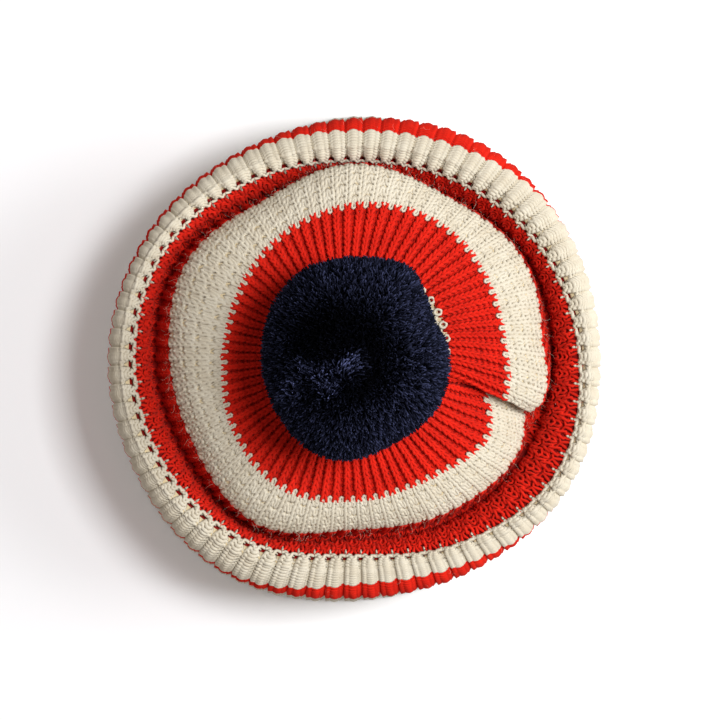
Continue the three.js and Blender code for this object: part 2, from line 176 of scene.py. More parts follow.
def through_points(points, places):
    """Smooth curves through the points of each row, at places counted in points."""
    ends = 2 * points[:, [0, -1]] - points[:, [1, -2]]
    points = np.concatenate([ends[:, :1], points, ends[:, 1:]], axis=1)
    first = np.minimum(places.astype(int), points.shape[1] - 4)
    t = (places - first)[None, :, None]
    before, start, end, after = (points[:, first + step] for step in range(4))
    leave, arrive = (end - before) / 2, (after - start) / 2
    bend = (t**3 - 2 * t**2 + t) * leave + (t**3 - t**2) * arrive
    return mix(start, end, 3 * t**2 - 2 * t**3) + bend


def course_marks(places, lengths, radii, red, eyelet, turned):
    """Courses up to each mark along one rib, and the length of fabric up to it."""
    on_top = places < TOP_END
    red_start, red_stop = np.interp(red, radii[on_top], lengths[on_top])
    edge, valley, seam, hem = np.interp((EDGE, VALLEY, SEAM, HEM), places, lengths)
    turned_end = seam + turned
    marks = (0, red_start, red_stop, edge, valley, seam - eyelet, seam, turned_end, turned_end + CUFF_RED,
             hem - HEM_YARN)
    return (0, *COURSE_ENDS.values()), marks


def fabric_sheet():
    """Points of the fabric's middle on a grid of columns round the hat and rows along it, with normals."""
    columns = np.arange(COLUMNS) * RIBS / COLUMNS
    places = np.linspace(0, HEM, HEM * STATION_STEPS + 1)
    outside = through_points(meridian_points(columns), places)
    steps = np.linalg.norm(np.diff(outside, axis=1), axis=2)
    lengths = np.concatenate([np.zeros((COLUMNS, 1)), np.cumsum(steps, axis=1)], axis=1)
    radii = np.hypot(outside[:, :, 0], outside[:, :, 1])
    outline = outline_at(360 / RIBS * columns)
    red = np.stack([outline["red start"], outline["red end"] + pleat_at(columns)["draws"]], axis=1)
    wanted = np.linspace(0, ALL_COURSES, SHEET_ROWS + 1)
    sheet = np.empty((COLUMNS, SHEET_ROWS + 1, 3))
    for column in range(COLUMNS):
        marks = course_marks(places, lengths[column], radii[column], red[column], outline["eyelet"][column],
                             outline["turned"][column])
        reach = np.interp(wanted, *marks)
        for axis in range(3):
            sheet[column, :, axis] = np.interp(reach, lengths[column], outside[column, :, axis])
    along = np.gradient(sheet, axis=1)
    round_hat = np.roll(sheet, -1, axis=0) - np.roll(sheet, 1, axis=0)
    outward = np.cross(along, round_hat)
    outward[:, 0] = (0, 0, 1)
    outward /= np.linalg.norm(outward, axis=2, keepdims=True)
    low, high = outside[:, :, :2].min(axis=(0, 1)), outside[:, :, :2].max(axis=(0, 1))
    sheet[:, :, :2] -= (low + high) / 2
    return (sheet - HALF_WALL * outward) * MM, outward


def grid_faces(columns, rows):
    """Quads of a grid of points that are listed column by column."""
    corner = (np.arange(columns - 1)[:, None] * rows + np.arange(rows - 1)).ravel()
    return np.stack([corner, corner + 1, corner + rows + 1, corner + rows], axis=1)


def mesh_of(name, points, faces):
    """Mesh from arrays of points and of faces that all have as many corners."""
    mesh = bpy.data.meshes.new(name)
    mesh.vertices.add(len(points))
    mesh.vertices.foreach_set("co", np.ascontiguousarray(points, np.float32).ravel())
    if len(faces):
        corners = faces.shape[1]
        mesh.loops.add(faces.size)
        mesh.loops.foreach_set("vertex_index", faces.astype(np.int32).ravel())
        mesh.polygons.add(len(faces))
        mesh.polygons.foreach_set("loop_start", np.arange(0, faces.size, corners, dtype=np.int32))
    mesh.update(calc_edges=True)
    return mesh


def object_of(name, mesh):
    """Object at the origin that holds this mesh."""
    made = bpy.data.objects.new(name, mesh)
    bpy.context.scene.collection.objects.link(made)
    return made


def guide(name, mesh):
    """Object that only guides the making of other pieces, and never shows."""
    made = object_of(name, mesh)
    made.hide_render = True
    return made


def set_vectors(mesh, name, vectors):
    """Give each point of a mesh a vector under this name."""
    attribute = mesh.attributes.new(name, "FLOAT_VECTOR", "POINT")
    attribute.data.foreach_set("vector", vectors.astype(np.float32).ravel())


sheet_points, sheet_outward = fabric_sheet()
closed_points = np.concatenate([sheet_points, sheet_points[:1]])
closed_outward = np.concatenate([sheet_outward, sheet_outward[:1]])
sheet_quads = grid_faces(COLUMNS + 1, SHEET_ROWS + 1)
sheet_mesh = mesh_of("fabric_sheet", closed_points.reshape(-1, 3), sheet_quads)
set_vectors(sheet_mesh, "outward", closed_outward)
round_shares, course_shares = np.linspace(0, 1, COLUMNS + 1), np.linspace(0, 1, SHEET_ROWS + 1)
u_share, v_share = np.meshgrid(round_shares, course_shares, indexing="ij")
sheet_places = np.stack([u_share.ravel(), v_share.ravel()], axis=1)
sheet_map = sheet_mesh.uv_layers.new(name="fabric")
sheet_map.data.foreach_set("uv", sheet_places[sheet_quads.ravel()].astype(np.float32).ravel())
fabric_guide = guide("fabric_guide", sheet_mesh)

# Yarn of the hat: soft two-ply yarn in red and cream, matt, with short fibres that roughen the strand. Its
# colour drifts a little along the strand. The fibre effect is one node group, which each yarn wears with its
# own colours.
RED_LIGHT, RED_DEEP = (0.79, 0.018, 0.005, 1), (0.59, 0.011, 0.003, 1)
CREAM_LIGHT, CREAM_DEEP = (0.72, 0.66, 0.535, 1), (0.62, 0.545, 0.415, 1)
RED_SHEEN, CREAM_SHEEN = (1.0, 0.2, 0.15, 1), (1.0, 0.96, 0.88, 1)
DRIFT_SCALE = 160.0  # patches of colour in a metre
FIBRE_SCALE = 2600.0  # fibres in a metre
FIBRE_HEIGHT = 0.0003


def node(tree, kind, inputs=None, **settings):
    """Node of a tree with its settings made and its inputs linked or set."""
    made = tree.nodes.new(kind)
    for name, value in settings.items():
        setattr(made, name, value)
    for name, value in (inputs or {}).items():
        if isinstance(value, bpy.types.NodeSocket):
            tree.links.new(value, made.inputs[name])
        else:
            made.inputs[name].default_value = value
    return made


def number(tree, operation, *values):
    """Number that a tree works out from other numbers."""
    return node(tree, "ShaderNodeMath", dict(enumerate(values)), operation=operation).outputs[0]


def vector(tree, operation, first, second):
    """Vector that a tree works out from two vectors, or from a vector and its scale."""
    second_input = "Scale" if operation == "SCALE" else 1
    made = node(tree, "ShaderNodeVectorMath", {0: first, second_input: second}, operation=operation)
    return made.outputs[0]


def sockets(tree, inputs, outputs):
    """Named sockets of a node group."""
    for direction, named in (("INPUT", inputs), ("OUTPUT", outputs)):
        for name, kind in named.items():
            tree.interface.new_socket(name=name, in_out=direction, socket_type="NodeSocket" + kind)


def fibre_group():
    """Shader group: colour that drifts between two shades, and the height of the fibres."""
    tree = bpy.data.node_groups.new("Yarn fibres", "ShaderNodeTree")
    sockets(tree, {"Light colour": "Color", "Deep colour": "Color", "Fibre scale": "Float"},
            {"Colour": "Color", "Height": "Float"})
    entry = node(tree, "NodeGroupInput").outputs
    place = node(tree, "ShaderNodeTexCoord").outputs["Object"]
    drift = node(tree, "ShaderNodeTexNoise", {"Vector": place, "Scale": DRIFT_SCALE, "Detail": 3.0})
    fibres = node(tree, "ShaderNodeTexNoise",
                  {"Vector": place, "Scale": entry["Fibre scale"], "Detail": 2.0, "Roughness": 0.7})
    both = number(tree, "MULTIPLY_ADD", drift.outputs["Fac"], fibres.outputs["Fac"], 0.12)
    spread = node(tree, "ShaderNodeMapRange", {"Value": both, "From Min": 0.24, "From Max": 0.52})
    blend = node(tree, "ShaderNodeMix", {0: spread.outputs["Result"], 6: entry["Deep colour"],
                                         7: entry["Light colour"]}, data_type="RGBA")
    node(tree, "NodeGroupOutput", {"Colour": blend.outputs[2], "Height": fibres.outputs["Fac"]})
    return tree


yarn_fibres = fibre_group()


def yarn_material(name, light, deep, sheen, sheen_tint, fibre_scale=FIBRE_SCALE, gloss=0.2):
    """Matt yarn that wears the fibres in its own colours."""
    material = bpy.data.materials.new(name)
    material.use_nodes = True
    tree = material.node_tree
    shader = tree.nodes["Principled BSDF"]
    fibres = node(tree, "ShaderNodeGroup", node_tree=yarn_fibres)
    fibres.inputs["Light colour"].default_value = light
    fibres.inputs["Deep colour"].default_value = deep
    fibres.inputs["Fibre scale"].default_value = fibre_scale
    bump = node(tree, "ShaderNodeBump",
                {"Height": fibres.outputs["Height"], "Strength": 0.5, "Distance": FIBRE_HEIGHT})
    tree.links.new(fibres.outputs["Colour"], shader.inputs["Base Color"])
    tree.links.new(bump.outputs["Normal"], shader.inputs["Normal"])
    shader.inputs["Roughness"].default_value = 0.9
    shader.inputs["Specular IOR Level"].default_value = gloss
    shader.inputs["Sheen Weight"].default_value = sheen
    shader.inputs["Sheen Roughness"].default_value = 0.5
    shader.inputs["Sheen Tint"].default_value = sheen_tint
    return material


red_yarn = yarn_material("red_yarn", RED_LIGHT, RED_DEEP, 0.08, RED_SHEEN)
cream_yarn = yarn_material("cream_yarn", CREAM_LIGHT, CREAM_DEEP, 0.1, CREAM_SHEEN)

# Courses of knitting: each course is one closed yarn that runs round the hat in loops, each drawn through the
# one before it. A knit loop has its legs in front and makes a ridge. A purl loop has them behind and sinks.
# A chart row gives the loops of one repeat, and nodes lay the repeats along the fabric, course after course.
RED_YARN = (0.55, 1.15)  # radius of the yarn in millimetres, and how far it spreads flat
CREAM_YARN = (0.62, 1.45)
STRIP_YARN = (0.53, 1.1)
LOOP_YARN = (0.5, 1.0)
UNDER_POMPOM = 10  # courses at the centre that the pompom hides
POMPOM_LOOPS = 44  # loops of cream yarn round the pompom's foot


def named_value(tree, name, kind):
    """Value that the points of a mesh hold under this name."""
    return node(tree, "GeometryNodeInputNamedAttribute", {"Name": name}, data_type=kind).outputs["Attribute"]


def knitting_tree():
    """Nodes that lay the loops of a chart along the fabric, and put yarn round them."""
    tree = bpy.data.node_groups.new("Knitted courses", "GeometryNodeTree")
    sockets(tree, {"Fabric": "Object", "Chart": "Object", "Repeats": "Int", "Repeat points": "Int",
                   "Chart rows": "Int", "First course": "Int", "Courses": "Int", "All courses": "Int",
                   "Yarn radius": "Float", "Yarn spread": "Float", "Yarn sides": "Int", "Unevenness": "Float",
                   "Seed": "Float", "Yarn": "Material"}, {"Knitting": "Geometry"})
    entry = node(tree, "NodeGroupInput").outputs
    fabric = node(tree, "GeometryNodeObjectInfo", {"Object": entry["Fabric"]}).outputs["Geometry"]
    chart = node(tree, "GeometryNodeObjectInfo", {"Object": entry["Chart"]}).outputs["Geometry"]

    # One closed curve for each course
    round_points = number(tree, "MULTIPLY", entry["Repeats"], entry["Repeat points"])
    one_course = node(tree, "GeometryNodeCurvePrimitiveCircle", {"Resolution": round_points})
    courses = node(tree, "GeometryNodeDuplicateElements",
                   {"Geometry": one_course.outputs["Curve"], "Amount": entry["Courses"]}, domain="SPLINE")
    course = courses.outputs["Duplicate Index"]

    # Point of the chart that each point of a course follows
    point = number(tree, "MODULO", node(tree, "GeometryNodeInputIndex").outputs[0], round_points)
    repeat = number(tree, "FLOOR", number(tree, "DIVIDE", point, entry["Repeat points"]))
    in_repeat = number(tree, "MODULO", point, entry["Repeat points"])
    row = number(tree, "MINIMUM", course, number(tree, "SUBTRACT", entry["Chart rows"], 1.0))
    chart_point = number(tree, "ADD", number(tree, "MULTIPLY", row, entry["Repeat points"]), in_repeat)
    position = node(tree, "GeometryNodeInputPosition").outputs[0]
    loop = node(tree, "GeometryNodeSampleIndex",
                {"Geometry": chart, "Value": position, "Index": chart_point},
                data_type="FLOAT_VECTOR", domain="POINT")
    across, up, front = node(tree, "ShaderNodeSeparateXYZ", {0: loop.outputs["Value"]}).outputs

    # Its place on the fabric, raised to the front
    turns = number(tree, "DIVIDE", number(tree, "ADD", repeat, across), entry["Repeats"])
    turn = number(tree, "FRACT", turns)
    height = number(tree, "ADD", number(tree, "ADD", course, entry["First course"]),
                    number(tree, "ADD", up, 0.5))
    share = number(tree, "DIVIDE", height, entry["All courses"])
    inside = {"From Min": 0.0, "From Max": 1.0, "To Min": 0.0005, "To Max": 0.9995}
    turn = node(tree, "ShaderNodeMapRange", {"Value": turn, **inside}).outputs["Result"]
    share = node(tree, "ShaderNodeMapRange", {"Value": share, **inside}).outputs["Result"]
    place = node(tree, "ShaderNodeCombineXYZ", {"X": turn, "Y": share}).outputs[0]
    fabric_map = named_value(tree, "fabric", "FLOAT_VECTOR")

    def on_fabric(value):
        return node(tree, "GeometryNodeSampleUVSurface",
                    {"Mesh": fabric, "Value": value, "UV Map": fabric_map, "Sample UV": place},
                    data_type="FLOAT_VECTOR").outputs["Value"]

    outward = on_fabric(named_value(tree, "outward", "FLOAT_VECTOR"))
    stitch_place = vector(tree, "ADD", on_fabric(position), vector(tree, "SCALE", outward, front))

    # Uneven yarn: each stitch strays a little, and is plumper or thinner than the next
    noise = node(tree, "ShaderNodeTexNoise", {"Vector": stitch_place, "W": entry["Seed"], "Scale": 330.0,
                                              "Detail": 3.0}, noise_dimensions="4D")
    centred = vector(tree, "SUBTRACT", noise.outputs["Color"], (0.5, 0.5, 0.5))
    placed = vector(tree, "ADD", stitch_place, vector(tree, "SCALE", centred, entry["Unevenness"]))
    laid = node(tree, "GeometryNodeSetPosition",
                {"Geometry": courses.outputs["Geometry"], "Position": placed})
    plump = node(tree, "ShaderNodeMapRange", {"Value": noise.outputs["Fac"], "From Min": 0.3, "From Max": 0.7,
                                              "To Min": 0.82, "To Max": 1.18}).outputs["Result"]
    spun = node(tree, "GeometryNodeSetCurveRadius", {"Curve": laid.outputs[0], "Radius": plump})
    turned = node(tree, "GeometryNodeSetCurveNormal",
                  {"Curve": spun.outputs[0], "Normal": outward}, mode="FREE")
    strand = node(tree, "GeometryNodeCurvePrimitiveCircle",
                  {"Resolution": entry["Yarn sides"], "Radius": entry["Yarn radius"]})
    spread = node(tree, "ShaderNodeCombineXYZ", {"X": 1.0, "Y": entry["Yarn spread"], "Z": 1.0}).outputs[0]
    soft = node(tree, "GeometryNodeTransform", {"Geometry": strand.outputs["Curve"], "Scale": spread})
    yarn = node(tree, "GeometryNodeCurveToMesh",
                {"Curve": turned.outputs[0], "Profile Curve": soft.outputs[0]})
    smooth = node(tree, "GeometryNodeSetShadeSmooth", {"Geometry": yarn.outputs[0]})
    real = node(tree, "GeometryNodeRealizeInstances", {"Geometry": smooth.outputs[0]})
    coloured = node(tree, "GeometryNodeSetMaterial", {"Geometry": real.outputs[0], "Material": entry["Yarn"]})
    node(tree, "NodeGroupOutput", {"Knitting": coloured.outputs[0]})
    return tree


def made_by_nodes(name, tree, values):
    """Object whose plain mesh is what a node tree makes from these values."""
    made = object_of(name, bpy.data.meshes.new(name + "_start"))
    modifier = made.modifiers.new("Nodes", "NODES")
    modifier.node_group = tree
    for item in tree.interface.items_tree:
        if item.in_out == "INPUT" and item.name in values:
            modifier[item.identifier] = values[item.name]
    made.update_tag()
    depsgraph = bpy.context.evaluated_depsgraph_get()
    mesh = bpy.data.meshes.new_from_object(made.evaluated_get(depsgraph), depsgraph=depsgraph)
    made.modifiers.remove(modifier)
    made.data = mesh
    mesh.name = name
    return made


def give_strand_map(mesh, round_points, sides, courses):
    """Map for baking: each course is a strip, with u along its yarn and v round the strand."""
    corners = np.empty(len(mesh.loops), np.int32)
    mesh.loops.foreach_get("vertex_index", corners)
    corners = corners.reshape(-1, 4)
    side = corners % sides
    point = corners // sides % round_points
    course = corners // (sides * round_points)
    side = np.where((np.ptp(side, axis=1) > 1)[:, None] & (side == 0), sides, side)
    point = np.where((np.ptp(point, axis=1) > 1)[:, None] & (point == 0), round_points, point)
    strip = 0.05 + 0.9 * side / sides  # a course keeps this far from the strips beside it
    places = np.stack([point / round_points, (course + strip) / courses], axis=2)
    mesh.uv_layers.new(name="OFBake").data.foreach_set("uv", places.astype(np.float32).ravel())


knitting = knitting_tree()


def knit(name, chart_rows, yarn, size, uneven, sides=4, first=None, last=None, repeats=RIBS):
    """Courses of one stripe, knitted by a chart whose last row repeats to the stripe's end."""
    first = COURSE_ENDS[name] - COURSES[name] if first is None else first
    last = COURSE_ENDS[name] if last is None else last
    repeat_points = len(chart_rows[0])
    chart = guide(name + "_chart", mesh_of(name + "_chart", np.concatenate(chart_rows), np.empty((0, 4))))
    made = made_by_nodes(name, knitting, {
        "Fabric": fabric_guide, "Chart": chart, "Repeats": repeats, "Repeat points": repeat_points,
        "Chart rows": len(chart_rows), "First course": first, "Courses": last - first,
        "All courses": ALL_COURSES, "Yarn radius": size[0] * MM, "Yarn spread": size[1], "Yarn sides": sides,
        "Unevenness": uneven * MM, "Seed": float(last), "Yarn": yarn})
    give_strand_map(made.data, repeats * repeat_points, sides, last - first)
    bpy.data.objects.remove(chart)
    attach(made, "root")
    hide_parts(name.split("_")[0])


def loop_points(left, right, foot, head, front, splay, points, back=0.0, tip=0.0):
    """One loop of yarn: across in repeats, up in courses, and how far its legs and tip stand in front."""
    t = np.arange(points) * 2 * math.pi / points
    across = left + (right - left) * (t / (2 * math.pi) + splay * np.sin(2 * t))
    rise = (1 - np.cos(t)) / 2
    forward = front * (1 - np.cos(2 * t)) / 2 - back + tip * rise**4
    return np.stack([across, mix(foot, head, rise), MM * forward], axis=1)


def ridge_row(share=0.54, lift=1.1, splay=0.3, knit_reach=0.85, purl_reach=0.64, back=0.4, sink=0.77,
              foot=None):
    """One repeat of the crown: a knit loop that makes the ridge, and a purl loop in the hollow beside it."""
    half = share / 2
    ridge = loop_points(-half, half, -knit_reach if foot is None else foot, knit_reach, lift, splay, 8)
    hollow = loop_points(half, 1 - half, -purl_reach, purl_reach, -sink, 0.12, 6, back)
    return np.concatenate([ridge, hollow])


def round_loop(middle, half, low, high, front, points=9):
    """Yarn that goes once round, from its foot at low over its top at high."""
    turn = 2 * math.pi * np.linspace(0, 1, points)
    up = (low + high) / 2 - (high - low) / 2 * np.cos(turn)
    return np.stack([middle + half * np.sin(turn), up, MM * (front + 0 * turn)], axis=1)


def tuck_row(share, lift, foot, head, low, high):
    """One repeat at a change of colour: a ridge loop, and a round loop that hangs into the other colour."""
    half = share / 2
    ridge = loop_points(-half, half, foot, head, lift, 0.28, 8)
    return np.concatenate([ridge, round_loop(0.5, 0.8 * (0.5 - half), low, high, 0.3)])


def edge_row():
    """One repeat beside the pompom: yarn that lies behind, and comes forward into one round loop."""
    start = np.array([(0.0, -0.6, -0.6 * MM), (0.2, -0.6, -0.4 * MM)])
    end = start[::-1] * (-1, 1, 1) + (1, 0, 0)
    return np.concatenate([start, round_loop(0.5, 0.22, -0.3, 0.75, 0.9, 11), end])


waffle = {"share": 0.56, "lift": 0.3, "splay": 0.26, "knit_reach": 0.8}
pit_row = ridge_row(**waffle, purl_reach=0.42, back=-0.1, sink=0.55)
full_row = ridge_row(**waffle, purl_reach=0.7, back=-0.35, sink=0.35)
waffle_rows = [full_row, pit_row] * 4
side_rows = [ridge_row(lift=0.7, back=0.3, foot=-0.3)] + [ridge_row(lift=0.7, back=0.3)] * 4
side_rows += [ridge_row(lift=0.2, back=0.9, knit_reach=0.5)]
deep_row = ridge_row(share=0.5, lift=0.2, splay=0.26, knit_reach=0.6, purl_reach=0.5, back=1.0, sink=0.2)
comb_full = ridge_row(share=0.5, lift=0.6, knit_reach=0.9, purl_reach=0.85, back=-0.3, sink=0.3)
comb_pit = ridge_row(share=0.5, lift=0.9, knit_reach=0.9, purl_reach=0.3, back=0.5, sink=0.6)
half_rib = (0.5, 0, 0)
honeycomb = [deep_row, comb_full, comb_pit, comb_full + half_rib, comb_pit + half_rib, comb_full]
change_row = tuck_row(share=0.6, lift=0.5, foot=-0.8, head=0.8, low=0.0, high=-1.2)
loop_course = COURSE_ENDS["crown_cream_0"] - 1
change_course = COURSE_ENDS["crown_red_1"]
knit("crown_cream_0", [full_row], cream_yarn, RED_YARN, uneven=0.6, first=UNDER_POMPOM,
     last=loop_course, repeats=RIBS // 2)
knit("crown_loops_0", [edge_row()], cream_yarn, LOOP_YARN, uneven=0.3, sides=5,
     first=loop_course, last=loop_course + 1, repeats=POMPOM_LOOPS)
knit("crown_red_1", [ridge_row()], red_yarn, RED_YARN, uneven=1.3)
knit("crown_loops_1", [change_row], cream_yarn, LOOP_YARN, uneven=0.7, sides=5,
     first=change_course, last=change_course + 1)
knit("crown_cream_1", waffle_rows, cream_yarn, CREAM_YARN, uneven=1.2)
knit("crown_red_2", side_rows, red_yarn, RED_YARN, uneven=0.8)
knit("crown_red_3", honeycomb, red_yarn, STRIP_YARN, uneven=1.6)

# Eyelet row: where the crown's knitting changes to the cuff's rib, the loops of every groove are moved to the
# ribs beside it, so each groove begins with a small open hole. The yarn there is cream, and the red inside
# shows through.
EYELET_YARN = (0.52, 1.3)


def eyelet_row(block, strand, rise):
    """One repeat: the loop of the rib between two eyelets, and the strand that crosses beside the eyelet."""
    half = block / 2
    rib = loop_points(-half, half, -0.5, 0.6, -0.3, 0.06, 8, back=-rise)
    return np.concatenate([rib, np.array(strand) * (1, 1, MM)])


crossing = ((0.34, -0.3, 0.7), (0.4, -0.15, 0.7), (0.46, -0.1, 0.7), (0.475, -0.9, -0.6), (0.487, -1.0, 1.5),
            (0.513, -1.0, 1.5), (0.525, -0.9, -0.6), (0.54, -0.1, 0.7), (0.6, -0.15, 0.7), (0.66, -0.3, 0.7))
behind = tuple((across, -0.9, -1.2) for across, _, _ in crossing)
eyelet_rows = [eyelet_row(0.6, crossing, 1.0), eyelet_row(0.44, behind, 1.5)]
knit("crown_cream_2", eyelet_rows, cream_yarn, EYELET_YARN, uneven=0.3)

# Cuff: firm rib knitting of wide knit ribs and narrow purl grooves, in cream, red and cream yarn. It runs
# from the eyelets over the rolled rim and down the outer wall to the hem that the hat stands on.
CUFF_YARN = (0.6, 1.5)


def rib_row(block=0.9, back=0.4, purl_foot=-0.5, purl_head=0.5, reach=0.28, rise=0.62):
    """One repeat of the cuff: a wide flat loop whose bars lie in front, and a narrow loop in the groove."""
    half = block / 2
    rib = loop_points(-half, half, -reach, reach, -0.35, 0.06, 8, back=-rise, tip=0.25)
    return np.concatenate([rib, loop_points(half, 1 - half, purl_foot, purl_head, -0.2, 0.1, 4, back)])


first_rows = [
    rib_row(0.66, 0.2, purl_foot=0.5, purl_head=0.9, reach=0.48, rise=1.3),
    rib_row(0.84, 0.5, purl_foot=-0.3, reach=0.45, rise=1.1),
    rib_row(0.88, 0.45, reach=0.36, rise=0.85),
    rib_row(),
]
knit("cuff_cream_2", first_rows, cream_yarn, CUFF_YARN, uneven=0.3)
knit("cuff_red_3", [rib_row()], red_yarn, CUFF_YARN, uneven=0.3, sides=3)
knit("cuff_cream_3", [rib_row()], cream_yarn, CUFF_YARN, uneven=0.3, sides=3)

# Ground of the fabric: the inner strands and loose fibres between the loops, which keep the knitting from
# being seen through. It is a thin closed sheet inside the wall, one band for each stripe, in its own yarn.
# The red ground is coloured far darker than the red yarn, as painted shade in the holes, and the cream ground
# is a warmer tan than the cream yarn, as painted light bounced between the yarns into the pits.
GROUND_THICKNESS = 0.35
# Painted shade: the red ground is far darker than the red yarn.
RED_GROUND_PAINTED_SHADE = ((0.3, 0.006, 0.004, 1), (0.2, 0.004, 0.003, 1))
# Painted bounce light: the cream ground is a warmer tan than the cream yarn.
CREAM_GROUND_PAINTED_BOUNCE = ((0.78, 0.64, 0.4, 1), (0.66, 0.53, 0.32, 1))
RED_BANDS = (  # first and last course, depth below the fabric's middle, and columns of the sheet in each step
    (14, 24, 0.9, 4), (32, 36.5, 0.9, 2), (36.5, 39.5, 1.6, 2), (39.5, 45.75, 0.8, 2), (57, 74, 0.5, 4))
CREAM_BANDS = (
    (0.5, 14, 0.7, 4), (24, 32, 0.0, 2), (45.75, 48, 0.2, 2), (48, 57, 0.6, 4), (74, 91.5, 0.5, 4))
red_ground_painted_shade = yarn_material("red_ground_painted_shade", *RED_GROUND_PAINTED_SHADE, 0.0, RED_SHEEN)
cream_ground_painted_bounce = yarn_material("cream_ground_painted_bounce", *CREAM_GROUND_PAINTED_BOUNCE, 0.0, CREAM_SHEEN)


def ground_band(first, last, depth, every):
    """Points and faces of a thin closed band of the sheet between two courses."""
    rows = np.unique(np.append(np.arange(first, last, 0.5), last) * COURSE_ROWS).astype(int)
    middle, outward = sheet_points[::every, rows], sheet_outward[::every, rows]
    outside = middle - (depth - GROUND_THICKNESS / 2) * MM * outward
    inside = middle - (depth + GROUND_THICKNESS / 2) * MM * outward
    loop = np.concatenate([outside, inside[:, ::-1]], axis=1)
    columns, around = loop.shape[:2]
    here = np.arange(columns)[:, None] * around + np.arange(around)
    there = np.roll(here, -1, axis=1)
    faces = np.stack([here, there, np.roll(there, -1, axis=0), np.roll(here, -1, axis=0)], axis=2)
    return loop.reshape(-1, 3), faces.reshape(-1, 4)


def ground(name, bands, material):
    """All bands of one colour, as one piece."""
    points, faces, used = [], [], 0
    for band in bands:
        band_points, band_faces = ground_band(*band)
        points.append(band_points)
        faces.append(band_faces + used)
        used += len(band_points)
    mesh = mesh_of(name, np.concatenate(points), np.concatenate(faces))
    mesh.materials.append(material)
    mesh.shade_smooth()
    made = object_of(name, mesh)
    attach(made, "root")
    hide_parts("crown", "cuff")


ground("ground_red", RED_BANDS, red_ground_painted_shade)
ground("ground_cream", CREAM_BANDS, cream_ground_painted_bounce)

# Loose fibres: fine hairs of the yarn that stand off the knitting and curl, most of them at the crown's edge.
# Each is a thin tapered strand of the yarn it comes from, held by the loops it grows out of.
FIBRE_LENGTH = 3.2
FIBRE_RADIUS = 0.036


def strand_ring(radius):
    """Three points round a strand."""
    turns = np.array((0, 2, 4)) * math.pi / 3
    return np.stack([np.cos(turns), np.sin(turns), 0 * turns], axis=1) * radius


def strand_faces(rings):
    """Triangles of a three-sided strand with flat ends."""
    last = 3 * (rings - 1)
    faces = [(2, 1, 0), (last, last + 1, last + 2)]
    for low in range(0, last, 3):
        for side in range(3):
            here, there = low + side, low + (side + 1) % 3
            faces += [(here, there, there + 3), (here, there + 3, here + 3)]
    return np.array(faces)


def fibre_mesh():
    """One loose fibre: a thin three-sided strand that rises along +Z and curls over."""
    t = np.linspace(0, 1, 5)
    curl = np.stack([0.5 * np.sin(2.4 * t), 0.3 * (np.cos(3.2 * t) - 1), t * (1.15 - 0.5 * t)], axis=1)
    taper = (1 - 0.5 * t)[:, None, None]
    points = ((curl * FIBRE_LENGTH)[:, None] + strand_ring(FIBRE_RADIUS)[None] * taper).reshape(-1, 3)
    return mesh_of("fibre", points * MM, strand_faces(len(t)))


